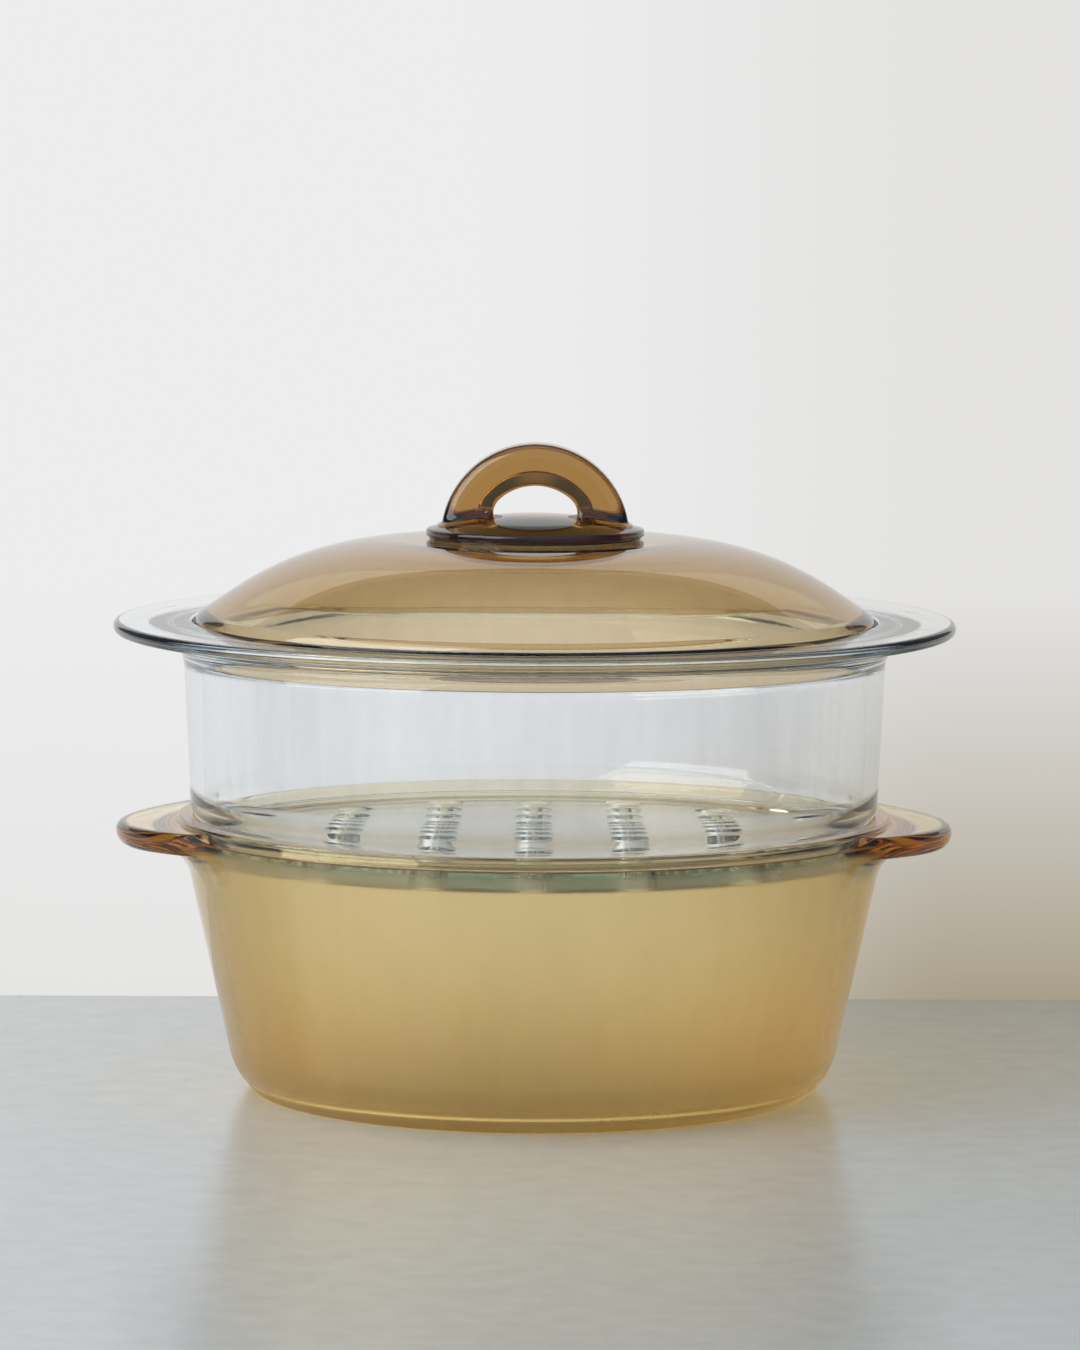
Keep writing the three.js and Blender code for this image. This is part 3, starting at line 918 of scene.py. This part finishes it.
def glass(name, tint, haze, wave, grain, mask=None, mask_haze=0.0, foot=WHITE[:3]):
    """Glass that takes colour with depth: after TINT_DEPTH, white light is left as tint.

    Absorption per metre is -log(tint) / TINT_DEPTH, written as density * (1 - colour).
    """
    taken = -np.log(np.array(tint)) / TINT_DEPTH
    density = float(taken.max() * DENSITY_MARGIN)
    material, tree = empty_material(name)
    place = add(tree, "ShaderNodeTexCoord")
    finish = add(
        tree, "ShaderNodeGroup", {"node_tree": pressed_glass_finish()},
        Vector=place.outputs["Object"], Grain=float(grain), Haze=haze, Foot=(*foot, 1.0),
    )
    rough = finish.outputs["Roughness"]
    if mask:
        satin = add(tree, "ShaderNodeAttribute", {"attribute_name": mask})
        rough = worked_out(tree, "MULTIPLY_ADD", satin.outputs["Fac"], mask_haze, rough)
    bump = add(tree, "ShaderNodeBump", Strength=wave, Distance=WAVE_DEPTH, Height=finish.outputs["Height"])
    shader = add(
        tree, "ShaderNodeBsdfPrincipled", Base_Color=finish.outputs["Tint"], Roughness=rough,
        Normal=bump.outputs[0], IOR=GLASS_IOR, Transmission_Weight=1.0,
    )
    light = add(tree, "ShaderNodeLightPath")
    clear = add(tree, "ShaderNodeBsdfTransparent", Color=SHADOW_CLEAR)
    surface = add(
        tree, "ShaderNodeMixShader",
        _0=light.outputs["Is Shadow Ray"], _1=shader.outputs[0], _2=clear.outputs[0],
    )
    depth = add(
        tree, "ShaderNodeVolumeAbsorption", Color=(*(1 - taken / density).tolist(), 1.0), Density=density,
    )
    add(tree, "ShaderNodeOutputMaterial", Surface=surface.outputs[0], Volume=depth.outputs[0])
    return material


# Stage

STAGE_SIZE = 3.0
WALL_DISTANCE = 183 * MM
WALL_REACH = 205 * MM
WALL_HEIGHT = 350 * MM
WALL_FOOT_REACH = 900 * MM
WALL_FOOT_HEIGHT = 160 * MM
BACKDROP_GAP = 1 * MM
BACKDROP_HEIGHT = 2.0
FLOOR_ROUGHNESS = 0.2
MOTTLE_SCALE = 90.0
MOTTLE_RUN = (0.3, 0.7)
MOTTLE_TONES = (0.94, 1.04)
SHADE_HEIGHT = 140 * MM
SHADE_START = -30 * MM
SHADE_FULL = 150 * MM
SHADE_OF_FOOT = 0.12
SHADE_OF_RIGHT_FOOT = 0.7
SHADE_OF_RIGHT = 0.15
FRONT_FROM = 0.1
FRONT_TO = -0.75
ABOVE_FROM = 0.72
ABOVE_TO = 1.0
WINDOW_PLACE = Vector((-0.85, -0.45, 0.7))
WINDOW_AIM = Vector((0, 0, 0.08))
WINDOW_SIZE = 1.2
WINDOW_POWER = 17
CAMERA_PLACE = (1.69 * MM, -2.0, 334.8 * MM)
CAMERA_TILT = math.radians(5.86)
CAMERA_ROLL = math.radians(0.27)
CAMERA_LENS = 172.31
CAMERA_SENSOR = 36


def plane(name, corners, material):
    """One flat sheet of the stage."""
    mesh = bpy.data.meshes.new(name)
    mesh.from_pydata(corners, [], [range(len(corners))])
    mesh.materials.append(material)
    sheet = bpy.data.objects.new(name, mesh)
    bpy.context.scene.collection.objects.link(sheet)
    return sheet


def floor_finish(tone):
    """Plain pale floor: faint mottling, and a satin sheen that mirrors the cooker softly."""
    material, tree = empty_material("pale floor")
    place = add(tree, "ShaderNodeTexCoord")
    mottle = add(tree, "ShaderNodeTexNoise", Vector=place.outputs["Object"], Scale=MOTTLE_SCALE, Detail=6.0)
    pale = remapped(tree, mottle.outputs[0], MOTTLE_RUN, MOTTLE_TONES)
    mixed = scaled(tree, tuple(tone), pale)
    shader = add(tree, "ShaderNodeBsdfPrincipled", Base_Color=mixed, Roughness=FLOOR_ROUGHNESS)
    add(tree, "ShaderNodeOutputMaterial", Surface=shader.outputs[0])
    return material


def wall_finish(tone, painted_shadow):
    """Pale wall that shows from the front only, with a painted warm shadow at the foot of its right side."""
    material, tree = empty_material("pale wall")
    place = add(tree, "ShaderNodeTexCoord")
    axes = add(tree, "ShaderNodeSeparateXYZ", Vector=place.outputs["Object"])
    # Painted shadow: the share of the shadow colour grows towards the foot and towards the right, where the
    # cooker's shadow would fall
    low = remapped(tree, axes.outputs["Z"], (SHADE_HEIGHT, 0.0), (0.0, 1.0))
    right = ramp(tree, axes.outputs["X"], SHADE_START, SHADE_FULL)
    foot = worked_out(tree, "MULTIPLY_ADD", right, SHADE_OF_RIGHT_FOOT, SHADE_OF_FOOT)
    side = worked_out(tree, "MULTIPLY", right, SHADE_OF_RIGHT)
    share = worked_out(tree, "MULTIPLY_ADD", low, foot, side)
    mixed = mixed_colour(tree, share, (*tone, 1.0), (*painted_shadow, 1.0))
    light = add(tree, "ShaderNodeLightPath").outputs
    seen = worked_out(tree, "ADD", light["Is Camera Ray"], light["Is Glossy Ray"], clamp=True)
    seen = worked_out(tree, "ADD", seen, light["Is Transmission Ray"], clamp=True)
    matt = add(tree, "ShaderNodeBsdfDiffuse", Color=mixed)
    glow = add(tree, "ShaderNodeEmission", Color=mixed, Strength=1.0)
    front = add(tree, "ShaderNodeMixShader", _0=seen, _1=matt.outputs[0], _2=glow.outputs[0])
    through = add(tree, "ShaderNodeBsdfTransparent")
    facing = add(tree, "ShaderNodeNewGeometry")
    both = add(
        tree, "ShaderNodeMixShader",
        _0=facing.outputs["Backfacing"], _1=front.outputs[0], _2=through.outputs[0],
    )
    add(tree, "ShaderNodeOutputMaterial", Surface=both.outputs[0])
    return material


def room_light(tones):
    """Room that is dim beside the cooker, bluish in front and bright above.

    The camera sees the wall's colour in its place.
    """
    world = bpy.data.worlds.new("room")
    bpy.context.scene.world = world
    world.use_nodes = True
    tree = world.node_tree
    tree.nodes.clear()
    place = add(tree, "ShaderNodeTexCoord")
    axes = add(tree, "ShaderNodeSeparateXYZ", Vector=place.outputs["Generated"])
    ahead = ramp(tree, axes.outputs["Y"], FRONT_FROM, FRONT_TO)
    high = ramp(tree, axes.outputs["Z"], ABOVE_FROM, ABOVE_TO)
    tone = mixed_colour(tree, ahead, (*tones.room, 1.0), (*tones.front, 1.0))
    tone = mixed_colour(tree, high, tone, (*tones.above, 1.0))
    light = add(tree, "ShaderNodeLightPath")
    seen = mixed_colour(tree, light.outputs["Is Camera Ray"], tone, (*tones.wall, 1.0))
    shine = add(tree, "ShaderNodeBackground", Color=seen, Strength=1.0)
    add(tree, "ShaderNodeOutputWorld", Surface=shine.outputs[0])


def window_lamp():
    """Large square lamp to the left of the cooker, in front of it and above it."""
    lamp = bpy.data.lights.new("window", "AREA")
    lamp.shape = "SQUARE"
    lamp.size = WINDOW_SIZE
    lamp.energy = WINDOW_POWER
    window = bpy.data.objects.new("window", lamp)
    window.location = WINDOW_PLACE
    window.rotation_euler = (WINDOW_AIM - WINDOW_PLACE).to_track_quat("-Z", "Y").to_euler()
    bpy.context.scene.collection.objects.link(window)


def make_walls(paint):
    """Wall with a wide foot that lights the glass, and a backdrop round it that only the camera sees."""
    half = [
        (WALL_FOOT_REACH, 0), (WALL_FOOT_REACH, WALL_FOOT_HEIGHT),
        (WALL_REACH, WALL_FOOT_HEIGHT), (WALL_REACH, WALL_HEIGHT),
    ]
    other = [(-x, z) for x, z in reversed(half)]
    wall = plane("wall", [(x, WALL_DISTANCE, z) for x, z in half + other], paint)
    wall.visible_shadow = False
    far, behind = STAGE_SIZE, WALL_DISTANCE + BACKDROP_GAP
    corners = ((-far, 0), (far, 0), (far, BACKDROP_HEIGHT), (-far, BACKDROP_HEIGHT))
    backdrop = plane("backdrop", [(x, behind, z) for x, z in corners], paint)
    backdrop.visible_shadow = False
    backdrop.visible_diffuse = False
    backdrop.visible_glossy = False
    backdrop.visible_transmission = False


def make_camera(scene):
    """Camera in front of the cooker, a little above it and tilted down."""
    camera = bpy.data.cameras.new("camera")
    camera.sensor_fit = "VERTICAL"
    camera.sensor_height = CAMERA_SENSOR
    camera.lens = CAMERA_LENS
    view = bpy.data.objects.new("camera", camera)
    view.location = CAMERA_PLACE
    tilt = Matrix.Rotation(math.pi / 2 - CAMERA_TILT, 4, "X")
    view.rotation_euler = (tilt @ Matrix.Rotation(CAMERA_ROLL, 4, "Z")).to_euler()
    scene.collection.objects.link(view)
    scene.camera = view


class COOKER_OT_stage(Operator):
    """Make the floor, the wall, the light and the camera"""

    bl_idname = "cooker.make_stage"
    bl_label = "Stage"

    def execute(self, context):
        scene = context.scene
        tones = scene.cooker_stage
        far = STAGE_SIZE
        corners = [(-far, -far, 0), (far, -far, 0), (far, far, 0), (-far, far, 0)]
        plane("floor", corners, floor_finish(tones.floor))
        make_walls(wall_finish(tones.wall, tones.painted_shadow))
        room_light(tones)
        window_lamp()
        make_camera(scene)
        scene.view_settings.view_transform = "Standard"
        return {"FINISHED"}


class COOKER_PT_parts(Panel):
    """Lists the cooker's pieces and their sizes"""

    bl_label = "Steam Cooker"
    bl_idname = "COOKER_PT_parts"
    bl_space_type = "VIEW_3D"
    bl_region_type = "UI"
    bl_category = "Cooker"

    def draw(self, context):
        for operator in OPERATORS:
            self.layout.operator(operator.bl_idname)
        for group in GROUPS:
            box = self.layout.box()
            settings = getattr(context.scene, group)
            for name in settings.bl_rna.properties.keys():
                if name not in {"rna_type", "name"}:
                    box.prop(settings, name)


GROUPS = {
    "cooker_pot": PotSizes,
    "cooker_steamer": SteamerSizes,
    "cooker_lid": LidSizes,
    "cooker_handle": HandleSizes,
    "cooker_glass": GlassColours,
    "cooker_stage": StageColours,
}
OPERATORS = (
    COOKER_OT_stage, COOKER_OT_pot, COOKER_OT_steamer, COOKER_OT_lid, COOKER_OT_handle, COOKER_OT_bond,
)


def register():
    for kind in (*GROUPS.values(), *OPERATORS, COOKER_PT_parts):
        bpy.utils.register_class(kind)
    for name, kind in GROUPS.items():
        setattr(bpy.types.Scene, name, PointerProperty(type=kind))


def unregister():
    for name in GROUPS:
        delattr(bpy.types.Scene, name)
    for kind in reversed((*GROUPS.values(), *OPERATORS, COOKER_PT_parts)):
        bpy.utils.unregister_class(kind)


def main():
    register()
    bpy.ops.cooker.make_stage()
    bpy.ops.cooker.make_pot()
    bpy.ops.cooker.make_steamer()
    bpy.ops.cooker.make_lid()
    bpy.ops.cooker.make_handle()
    bpy.ops.cooker.make_bond()


if __name__ == "__main__":
    main()
